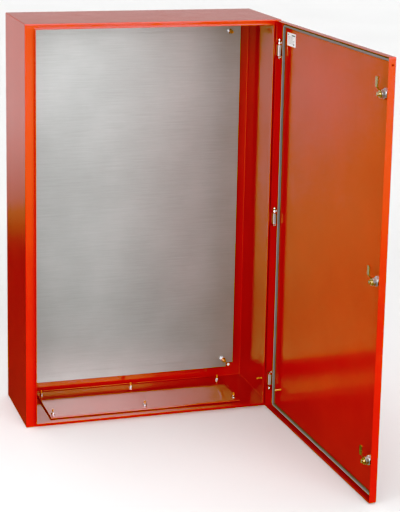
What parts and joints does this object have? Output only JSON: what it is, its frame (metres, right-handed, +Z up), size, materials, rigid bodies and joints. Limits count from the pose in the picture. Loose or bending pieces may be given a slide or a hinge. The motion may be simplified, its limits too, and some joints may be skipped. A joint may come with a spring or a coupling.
{
  "type": "wall-mounted control panel enclosure",
  "caption": "Tall red sheet-steel enclosure for fire alarm control gear, with a hinged door, quarter-turn locks, mounting plate and gland plate.",
  "frame": {"origin": "centre of the four wall fixings, on the back face of the rear panel", "axes": "+Z up, -Y out of the wall towards the front, +X to the right seen from the front, the door's hinge side"},
  "size_m": [0.8256, 1.101, 1.25],
  "materials": {
    "red_paint": "glossy powder coat with fine orange peel",
    "galvanised": "galvanised sheet, soft sheen",
    "zinc_plate": "bright zinc plate",
    "copper_stud": "copper flash",
    "die_cast": "satin die-cast zinc",
    "pin_steel": "turned and plated",
    "yellow_zinc": "yellow passivated",
    "foam": "matt foamed polyurethane",
    "seal_rubber": "matt",
    "label_film": "satin film"
  },
  "bodies": {
    "enclosure": {"body_shell": "red_paint", "rear_panel": "red_paint", "body_earth_stud": "copper_stud", "mounting_plate": "galvanised", "plate_spacers": "zinc_plate", "plate_studs": "copper_stud", "plate_washers": "zinc_plate", "plate_nuts": "zinc_plate", "gland_plate": "red_paint", "gland_gasket": "foam", "gland_studs": "copper_stud", "gland_washers": "zinc_plate", "gland_nuts": "zinc_plate", "hinge_screws": "zinc_plate", "hinge_block_lower": "die_cast", "hinge_block_middle": "die_cast", "hinge_block_upper": "die_cast"},
    "door": {"door_panel": "red_paint", "door_gasket": "foam", "rating_label": "label_film", "door_earth_stud": "copper_stud", "hinge_bracket_lower": "red_paint", "hinge_pin_lower": "pin_steel", "lock_housing_lower": "die_cast", "lock_seal_lower": "seal_rubber", "lock_nut_lower": "zinc_plate", "hinge_bracket_middle": "red_paint", "hinge_pin_middle": "pin_steel", "lock_housing_middle": "die_cast", "lock_seal_middle": "seal_rubber", "lock_nut_middle": "zinc_plate", "hinge_bracket_upper": "red_paint", "hinge_pin_upper": "pin_steel", "lock_housing_upper": "die_cast", "lock_seal_upper": "seal_rubber", "lock_nut_upper": "zinc_plate"},
    "lock_lower": {"lock_rotor_lower": "die_cast", "lock_cam_lower": "yellow_zinc", "cam_bolt_lower": "yellow_zinc"},
    "lock_middle": {"lock_rotor_middle": "die_cast", "lock_cam_middle": "yellow_zinc", "cam_bolt_middle": "yellow_zinc"},
    "lock_upper": {"lock_rotor_upper": "die_cast", "lock_cam_upper": "yellow_zinc", "cam_bolt_upper": "yellow_zinc"}
  },
  "joints": [
    {"name": "door_swing", "type": "hinge", "parent": "enclosure", "child": "door", "pos_m": [0.3895, -0.314, 0], "axis": [0, 0, 1], "range_deg": [-91.5, 28.5]},
    {"name": "lock_turn_lower", "type": "hinge", "parent": "door", "child": "lock_lower", "pos_m": [0.40875, -1.04925, -0.517], "axis": [-0.9997, -0.0262, 0], "range_deg": [-90, 0]},
    {"name": "lock_turn_middle", "type": "hinge", "parent": "door", "child": "lock_middle", "pos_m": [0.40875, -1.04925, 0], "axis": [-0.9997, -0.0262, 0], "range_deg": [-90, 0]},
    {"name": "lock_turn_upper", "type": "hinge", "parent": "door", "child": "lock_upper", "pos_m": [0.40875, -1.04925, 0.517], "axis": [-0.9997, -0.0262, 0], "range_deg": [-90, 0]}
  ]
}
